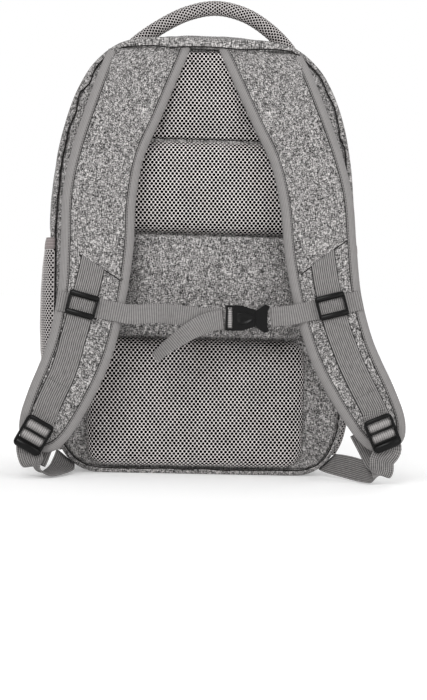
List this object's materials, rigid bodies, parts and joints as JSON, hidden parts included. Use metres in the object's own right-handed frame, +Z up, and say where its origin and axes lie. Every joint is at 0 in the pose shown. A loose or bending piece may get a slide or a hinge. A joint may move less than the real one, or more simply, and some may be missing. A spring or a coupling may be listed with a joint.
{
  "type": "laptop backpack",
  "caption": "Padded grey laptop backpack with mesh back pads, luggage sleeve, curved shoulder straps, chest strap and carry handle.",
  "frame": {"origin": "centre of the flat base that the bag stands on", "axes": "+Z up, +X to the right of a viewer who faces the back panel, +Y through the bag from the back panel to its front"},
  "size_m": [0.3981, 0.2655, 0.5003],
  "materials": {
    "heather_fabric": "woven, heathered grey",
    "spacer_mesh": "open spacer mesh over foam, light grey over dark",
    "stretch_mesh": "stretch mesh, light grey",
    "edge_tape": "woven tape, grey",
    "webbing": "ribbed webbing, grey",
    "black_plastic": "moulded, satin black",
    "zip": "zip tape with coil, dark grey"
  },
  "bodies": {
    "root": {"base_panel": "heather_fabric", "front_panel": "heather_fabric", "side_gusset_left": "heather_fabric", "side_gusset_right": "heather_fabric", "top_gusset_rear": "heather_fabric", "top_gusset_front": "heather_fabric", "back_panel": "heather_fabric", "back_piping": "heather_fabric", "trolley_sleeve": "heather_fabric", "shoulder_strap_left": "heather_fabric", "shoulder_strap_right": "heather_fabric", "neck_pad": "spacer_mesh", "upper_pad": "spacer_mesh", "lower_pad": "spacer_mesh", "carry_handle": "spacer_mesh", "side_pocket_left": "stretch_mesh", "side_pocket_right": "stretch_mesh", "pocket_band_left": "edge_tape", "pocket_band_right": "edge_tape", "strap_binding_left": "edge_tape", "strap_binding_right": "edge_tape", "strap_webbing_left": "webbing", "strap_webbing_right": "webbing", "lower_webbing_left": "webbing", "lower_webbing_right": "webbing", "webbing_tail_left": "webbing", "webbing_tail_right": "webbing", "chest_webbing_left": "webbing", "chest_webbing_right": "webbing", "chest_tail": "webbing", "chest_slider_left": "black_plastic", "chest_slider_right": "black_plastic", "ladder_lock_left": "black_plastic", "ladder_lock_right": "black_plastic", "chest_buckle_socket": "black_plastic", "chest_buckle_plug": "black_plastic", "zip_pull": "black_plastic", "main_zip": "zip"}
  },
  "joints": []
}
